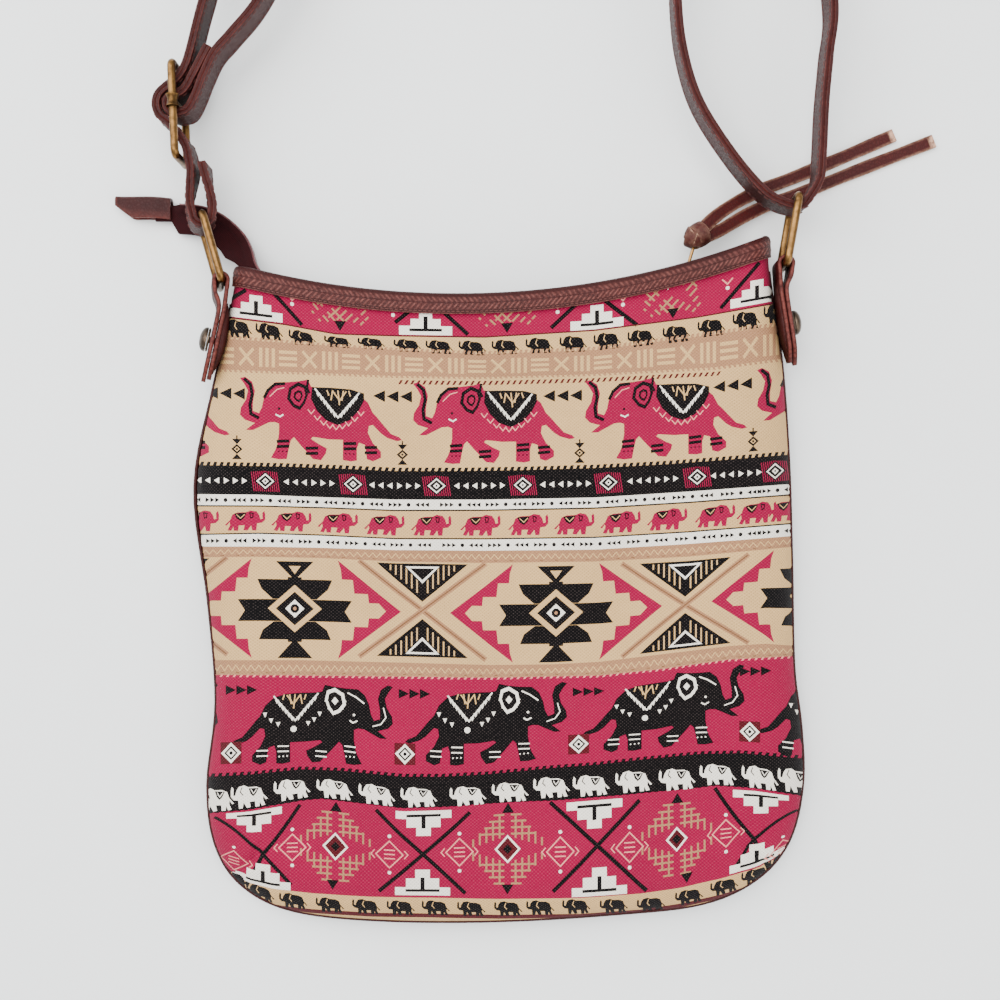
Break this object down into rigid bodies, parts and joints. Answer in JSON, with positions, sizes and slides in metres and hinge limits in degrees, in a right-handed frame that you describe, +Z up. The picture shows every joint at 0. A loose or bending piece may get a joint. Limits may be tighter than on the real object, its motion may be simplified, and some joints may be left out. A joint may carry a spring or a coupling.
{
  "type": "crossbody bag",
  "caption": "Soft crossbody bag lying flat: printed front, dipped zip mouth with a knotted pull, wire rings on riveted side tabs and a long strap doubled through a slide.",
  "frame": {"origin": "middle of the flat face that the bag lies on, at table height", "axes": "+X to the viewer's right across the bag, +Y along the bag from its bottom to its mouth and strap, +Z up out of the printed front"},
  "size_m": [0.3801, 0.5591, 0.034],
  "materials": {
    "printed_canvas": "woven cotton, printed",
    "back_leather": "grained faux leather",
    "binding_leather": "embossed faux leather",
    "strap_leather": "grained faux leather",
    "thong_leather": "soft leather with raw edges",
    "wire": "antique, worn on its edges",
    "rivet": "dark antique",
    "zip_tape": "woven tape",
    "zip_teeth": "moulded coil",
    "lining": "plain woven"
  },
  "bodies": {
    "bag": {"front_panel": "printed_canvas", "back_panel": "back_leather", "lining": "lining", "front_binding": "binding_leather", "back_binding": "binding_leather", "tab_left": "strap_leather", "tab_right": "strap_leather", "rivet_left": "rivet", "rivet_right": "rivet", "strap": "strap_leather", "zip_teeth_front": "zip_teeth", "zip_teeth_back": "zip_teeth", "zip_tape_front": "zip_tape", "zip_tape_back": "zip_tape", "zip_stop_front": "wire", "zip_stop_back": "wire", "zip_end_tab": "strap_leather"},
    "ring_left": {"ring_left": "wire"},
    "ring_right": {"ring_right": "wire"},
    "strap_slide": {"slide_frame": "wire", "slide_bar": "wire"},
    "zip_slider": {"zip_slider": "wire"},
    "zip_pull": {"zip_bail": "wire", "zip_pull_thong": "thong_leather"}
  },
  "joints": [
    {"name": "ring_left_swing", "type": "hinge", "parent": "bag", "child": "ring_left", "pos_m": [-0.1262, 0.1432, 0.0192], "axis": [0.2325, 0.0667, 0.9703], "range_deg": [-35, 35], "deforming": ["strap"]},
    {"name": "ring_right_swing", "type": "hinge", "parent": "bag", "child": "ring_right", "pos_m": [0.128, 0.151, 0.0192], "axis": [-0.0515, 0.0091, 0.9986], "range_deg": [-35, 20], "deforming": ["strap"]},
    {"name": "strap_slide_travel", "type": "slide", "parent": "bag", "child": "strap_slide", "axis": [0.2, 0.9798, 0], "range_m": [-0.008, 0.055], "deforming": ["strap"]},
    {"name": "zip_slider_travel", "type": "hinge", "parent": "bag", "child": "zip_slider", "pos_m": [-0.0187, 0.5122, 0.0153], "axis": [0, 0, 1], "range_deg": [-27.5, 0], "deforming": ["zip_teeth_front", "zip_teeth_back", "zip_tape_front", "zip_tape_back"]},
    {"name": "zip_pull_swing", "type": "hinge", "parent": "zip_slider", "child": "zip_pull", "pos_m": [0.08517, 0.15146, 0.0153], "axis": [0, 0, 1], "range_deg": [0, 100]}
  ]
}
